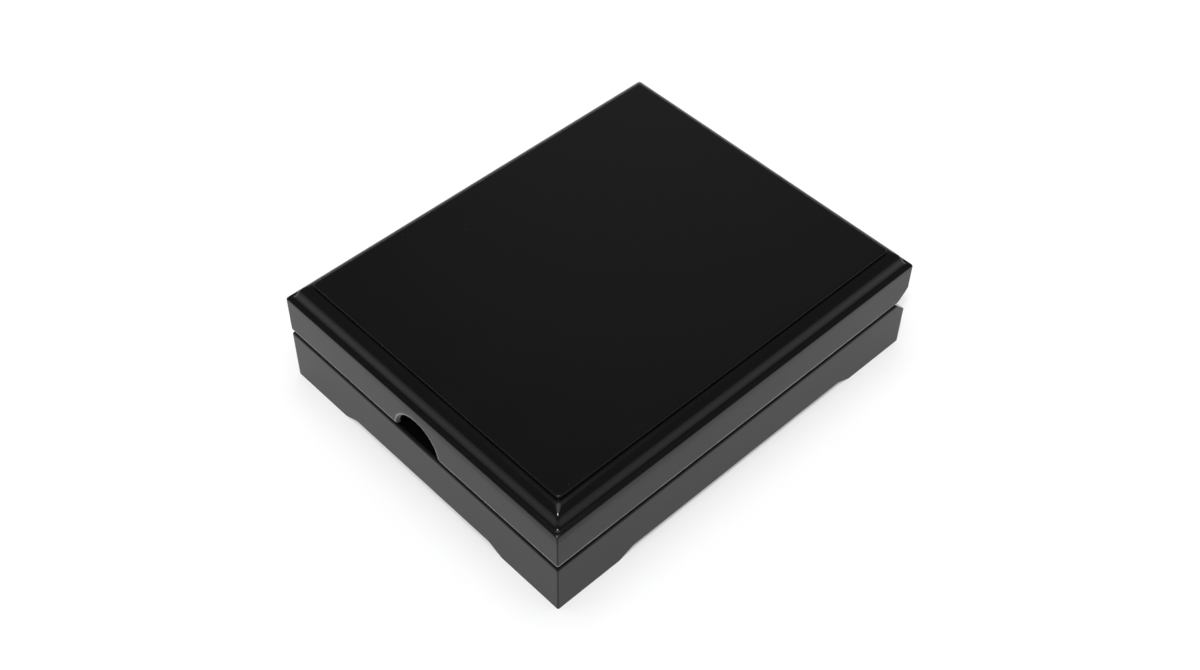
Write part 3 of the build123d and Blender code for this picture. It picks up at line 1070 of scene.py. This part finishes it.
# %% [markdown]
# ## The studio
# A black object shows what stands round it, so the studio is part of its look. The table is white and plain
# and runs on to the horizon; low down the room is pale, and higher up it is dark. Thus the walls of the box
# mirror the table and the lid mirrors the dark above, with a soft paler patch of wall behind the box. One
# lamp stands at the front right, and a broad one hangs overhead. A small third one beside the first shows
# only in reflections, where it makes the bright points on the corners. The table glows a little where the
# camera or a reflection looks at it, so that it comes out white and still keeps the shadow of the box.

# %% Table
table_size = 12.0
table_white = 0.92
table_glow = 0.3

table_mesh = bpy.data.meshes.new("table")
reach = table_size / 2
table_corners = [(-reach, -reach, 0), (reach, -reach, 0), (reach, reach, 0), (-reach, reach, 0)]
table_mesh.from_pydata(table_corners, [], [(0, 1, 2, 3)])
table = bpy.data.objects.new("table", table_mesh)
bpy.context.scene.collection.objects.link(table)
paper_colour = (table_white, table_white, table_white, 1)
paper, tree, shader = new_material(
    "table_white", Base_Color=paper_colour, Roughness=1.0, Specular_IOR_Level=0.0)
rays = add(tree, "ShaderNodeLightPath").outputs
seen = math_node(tree, "MAXIMUM", rays["Is Camera Ray"], rays["Is Glossy Ray"])
seen = math_node(tree, "MAXIMUM", seen, rays["Is Transmission Ray"])
glow = add(tree, "ShaderNodeEmission", {"Color": (1, 1, 1, 1), "Strength": 1.0})
both = add(tree, "ShaderNodeMixShader", {0: math_node(tree, "MULTIPLY", seen, table_glow)})
tree.links.new(shader.outputs[0], both.inputs[1])
tree.links.new(glow.outputs[0], both.inputs[2])
tree.links.new(both.outputs[0], tree.nodes["Material Output"].inputs["Surface"])
table_mesh.materials.append(paper)
print("table", table_size, "m")

# %% Room and lamps
room_pale = (1.0, 1.0, 1.0)
room_dark = (0.3, 0.3, 0.312)
room_wall = (0.485, 0.465, 0.485)
band_low = math.sin(math.radians(5))
band_high = math.sin(math.radians(13))
wall_outer = math.cos(math.radians(13))
wall_inner = math.cos(math.radians(2))


def towards(azimuth, elevation):
    """A direction away from the box; azimuth 0 is in front of it, 90 on its right."""
    turn, rise = math.radians(azimuth), math.radians(elevation)
    return Vector((math.sin(turn) * math.cos(rise), -math.cos(turn) * math.cos(rise), math.sin(rise)))


world = bpy.data.worlds.new("room")
world.use_nodes = True
bpy.context.scene.world = world
tree = world.node_tree
direction = add(tree, "ShaderNodeTexCoord").outputs["Generated"]
height = axes_of(tree, direction)["Z"]
facing = vector_node(tree, "DOT_PRODUCT", direction, towards(-137, 42))
on_wall = remap(tree, facing, wall_outer, wall_inner)
above = blend_colours(tree, on_wall, room_dark, room_wall)
whole = blend_colours(tree, remap(tree, height, band_low, band_high), room_pale, above)
tree.links.new(whole, tree.nodes["Background"].inputs["Color"])


def lamp(name, azimuth, elevation, strength, spread, only_mirrored=False):
    """A lamp far away, whose disc is as many degrees wide as its spread."""
    data = bpy.data.lights.new(name, "SUN")
    data.energy = strength
    data.angle = math.radians(spread)
    light = bpy.data.objects.new(name, data)
    light.rotation_euler = towards(azimuth, elevation).to_track_quat("Z", "Y").to_euler()
    light.visible_diffuse = not only_mirrored
    bpy.context.scene.collection.objects.link(light)
    print(name, "from", azimuth, elevation)


lamp("key", 30, 58, 1.3, 7)
lamp("glint", 34, 54, 2.3, 3, only_mirrored=True)
lamp("overhead", 20, 88, 1.55, 46)

# %% [markdown]
# ## Colours
# The colours are shown as they are.

# %% Finish
bpy.context.scene.view_settings.view_transform = "Standard"
